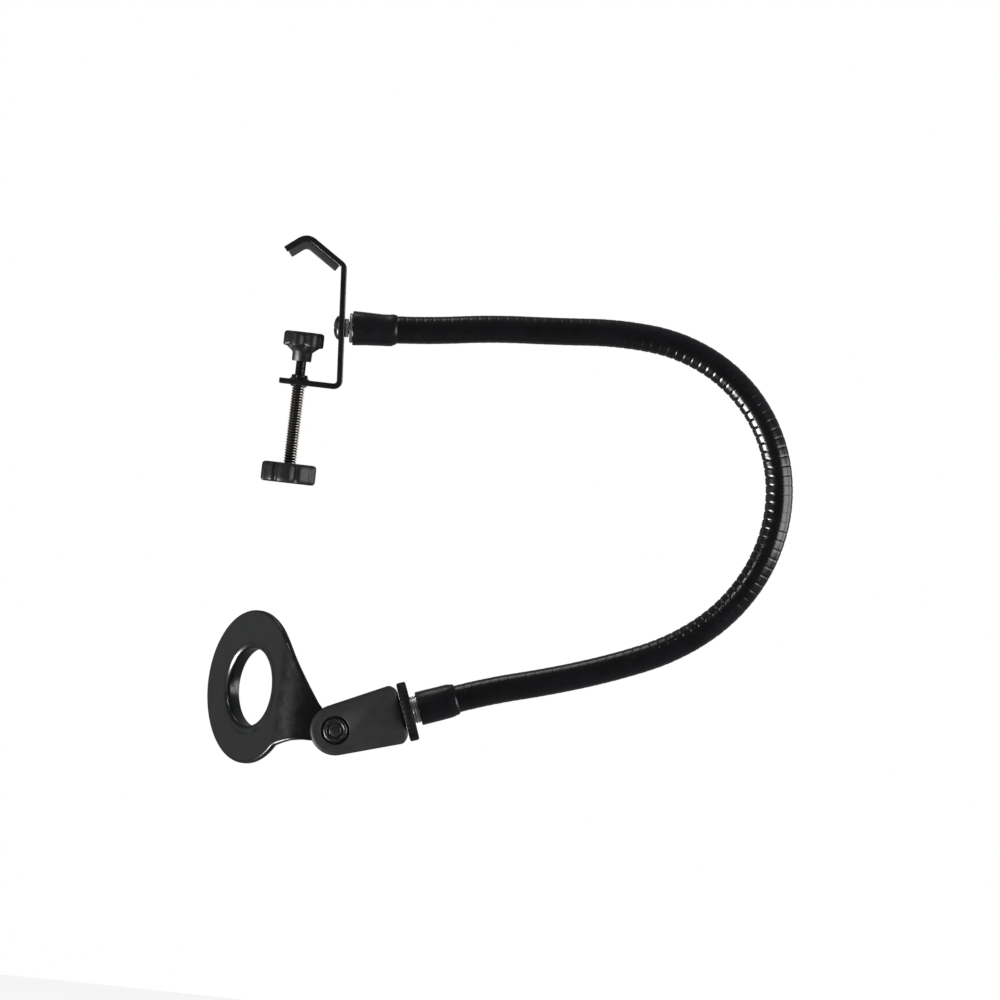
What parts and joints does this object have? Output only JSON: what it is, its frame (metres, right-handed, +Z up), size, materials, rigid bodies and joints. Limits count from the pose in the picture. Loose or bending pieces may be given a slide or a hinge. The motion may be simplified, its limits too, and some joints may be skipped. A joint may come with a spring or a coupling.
{
  "type": "clamp-on gooseneck ring holder",
  "caption": "Clamp with a hooked jaw, hand screw and swivel foot, carrying a bendable gooseneck arm that ends in a clevis and a tilting flared ring holder.",
  "frame": {"origin": "on the clamp screw's axis, level with the top of the rubber lined jaw", "axes": "+Z up along the clamp screw, +X from the clamp towards the gooseneck, +Y square to the plane that the gooseneck lies in"},
  "size_m": [0.2816, 0.0779, 0.2664],
  "materials": {
    "black_paint": "satin black powder coat",
    "jaw_rubber": "matte black rubber",
    "blackened_steel": "black oxide, slightly glossy",
    "zinc_steel": "bright zinc plate",
    "worn_black_steel": "blackened thread worn bright at the crests",
    "knob_plastic": "matte moulded plastic",
    "shrink_sleeve": "semi-gloss shrunk sleeve",
    "neck_vinyl": "glossy black vinyl cover",
    "coil_steel": "plain wound steel wire",
    "clevis_plastic": "matte dark grey glass-filled plastic",
    "ring_plastic": "satin black plastic with a cool cast"
  },
  "bodies": {
    "clamp_frame": {"bracket": "black_paint", "jaw_pad": "jaw_rubber", "thread_collar": "black_paint", "pivot_screw": "blackened_steel", "spacer_nut": "zinc_steel"},
    "foot": {"pressure_foot": "knob_plastic"},
    "screw": {"clamp_screw": "worn_black_steel", "hand_knob": "knob_plastic"},
    "neck_1": {"neck_socket": "zinc_steel", "upper_sleeve": "shrink_sleeve", "neck_cover_1": "neck_vinyl", "neck_coil_1": "coil_steel"},
    "neck_2": {"neck_cover_2": "neck_vinyl", "neck_coil_2": "coil_steel"},
    "neck_3": {"neck_cover_3": "neck_vinyl", "neck_coil_3": "coil_steel"},
    "neck_4": {"neck_cover_4": "neck_vinyl", "neck_coil_4": "coil_steel"},
    "neck_5": {"neck_cover_5": "neck_vinyl", "neck_coil_5": "coil_steel"},
    "neck_6": {"neck_cover_6": "neck_vinyl", "neck_coil_6": "coil_steel"},
    "neck_7": {"neck_cover_7": "neck_vinyl", "neck_coil_7": "coil_steel"},
    "neck_8": {"neck_cover_8": "neck_vinyl", "neck_coil_8": "coil_steel"},
    "neck_9": {"neck_cover_9": "neck_vinyl", "neck_coil_9": "coil_steel"},
    "neck_10": {"neck_cover_10": "neck_vinyl", "neck_coil_10": "coil_steel"},
    "neck_11": {"neck_cover_11": "neck_vinyl", "neck_coil_11": "coil_steel"},
    "neck_12": {"neck_cover_12": "neck_vinyl", "neck_coil_12": "coil_steel"},
    "neck_13": {"neck_cover_13": "neck_vinyl", "neck_coil_13": "coil_steel"},
    "neck_14": {"neck_cover_14": "neck_vinyl", "neck_coil_14": "coil_steel", "lower_sleeve": "shrink_sleeve", "threaded_stud": "zinc_steel"},
    "lock": {"lock_ring": "knob_plastic"},
    "clevis": {"clevis": "clevis_plastic", "tilt_bolt": "blackened_steel", "bolt_nut": "blackened_steel"},
    "holder": {"ring_holder": "ring_plastic"}
  },
  "joints": [
    {"name": "clamp_travel", "type": "slide", "parent": "clamp_frame", "child": "foot", "axis": [0, 0, 1], "range_m": [-0.0066, 0.0311]},
    {"name": "screw_turn", "type": "hinge", "parent": "foot", "child": "screw", "pos_m": [0, 0, -0.1], "axis": [0, 0, 1], "range_deg": [-1760, 8290]},
    {"name": "arm_swivel", "type": "hinge", "parent": "clamp_frame", "child": "neck_1", "pos_m": [0.01949, 0, -0.03694], "axis": [0.9971, 0, 0.0767], "range_deg": [-170, 170]},
    {"name": "base_bend", "type": "hinge", "parent": "neck_1", "child": "neck_2", "pos_m": [0.07746, 0, -0.03122], "axis": [0, -1, 0], "range_deg": [-20, 20]},
    {"name": "base_side", "type": "hinge", "parent": "neck_2", "child": "neck_3", "pos_m": [0.10912, 0, -0.02767], "axis": [-0.068, 0, 0.9977], "range_deg": [-24, 24]},
    {"name": "base_bend_2", "type": "hinge", "parent": "neck_3", "child": "neck_4", "pos_m": [0.14089, 0, -0.02509], "axis": [0, -1, 0], "range_deg": [-20, 20]},
    {"name": "middle_bend", "type": "hinge", "parent": "neck_4", "child": "neck_5", "pos_m": [0.17272, 0, -0.02486], "axis": [0, 1, 0], "range_deg": [-24, 3]},
    {"name": "middle_bend_2", "type": "hinge", "parent": "neck_5", "child": "neck_6", "pos_m": [0.20323, 0, -0.03338], "axis": [0, 1, 0], "range_deg": [-24, 3]},
    {"name": "middle_bend_3", "type": "hinge", "parent": "neck_6", "child": "neck_7", "pos_m": [0.22795, 0, -0.05312], "axis": [0, 1, 0], "range_deg": [-24, 3]},
    {"name": "middle_bend_4", "type": "hinge", "parent": "neck_7", "child": "neck_8", "pos_m": [0.24251, 0, -0.08121], "axis": [0, 1, 0], "range_deg": [-24, 3]},
    {"name": "middle_bend_5", "type": "hinge", "parent": "neck_8", "child": "neck_9", "pos_m": [0.24453, 0, -0.11279], "axis": [0, 1, 0], "range_deg": [-24, 3]},
    {"name": "middle_bend_6", "type": "hinge", "parent": "neck_9", "child": "neck_10", "pos_m": [0.23429, 0, -0.14278], "axis": [0, 1, 0], "range_deg": [-24, 3]},
    {"name": "end_side", "type": "hinge", "parent": "neck_10", "child": "neck_11", "pos_m": [0.21398, 0, -0.16711], "axis": [0.6414, 0, -0.7672], "range_deg": [-20, 20]},
    {"name": "end_bend", "type": "hinge", "parent": "neck_11", "child": "neck_12", "pos_m": [0.18701, 0, -0.1839], "axis": [0, -1, 0], "range_deg": [-15, 20]},
    {"name": "end_side_2", "type": "hinge", "parent": "neck_12", "child": "neck_13", "pos_m": [0.15734, 0, -0.19552], "axis": [0.3239, 0, -0.9461], "range_deg": [-20, 20]},
    {"name": "end_bend_2", "type": "hinge", "parent": "neck_13", "child": "neck_14", "pos_m": [0.1269, 0, -0.20492], "axis": [0, -1, 0], "range_deg": [-15, 20]},
    {"name": "lock_turn", "type": "hinge", "parent": "neck_14", "child": "lock", "pos_m": [0.07327, 0, -0.22376], "axis": [-0.9342, 0, -0.3567], "range_deg": [-1080, 0]},
    {"name": "clevis_swivel", "type": "hinge", "parent": "neck_14", "child": "clevis", "pos_m": [0.05926, 0, -0.22911], "axis": [-0.9342, 0, -0.3567], "range_deg": [-180, 180]},
    {"name": "holder_tilt", "type": "hinge", "parent": "clevis", "child": "holder", "pos_m": [0.03805, 0, -0.23721], "axis": [0, 1, 0], "range_deg": [-90, 45]}
  ],
  "couplings": [
    {"joint": "clamp_travel", "follows": "screw_turn", "m_per_rad": 0.00021486},
    {"joint": "base_bend_2", "follows": "base_bend", "ratio": 1},
    {"joint": "middle_bend_2", "follows": "middle_bend", "ratio": 1},
    {"joint": "middle_bend_3", "follows": "middle_bend", "ratio": 1},
    {"joint": "middle_bend_4", "follows": "middle_bend", "ratio": 1},
    {"joint": "middle_bend_5", "follows": "middle_bend", "ratio": 1},
    {"joint": "middle_bend_6", "follows": "middle_bend", "ratio": 1},
    {"joint": "end_side_2", "follows": "end_side", "ratio": 1},
    {"joint": "end_bend_2", "follows": "end_bend", "ratio": 1}
  ]
}
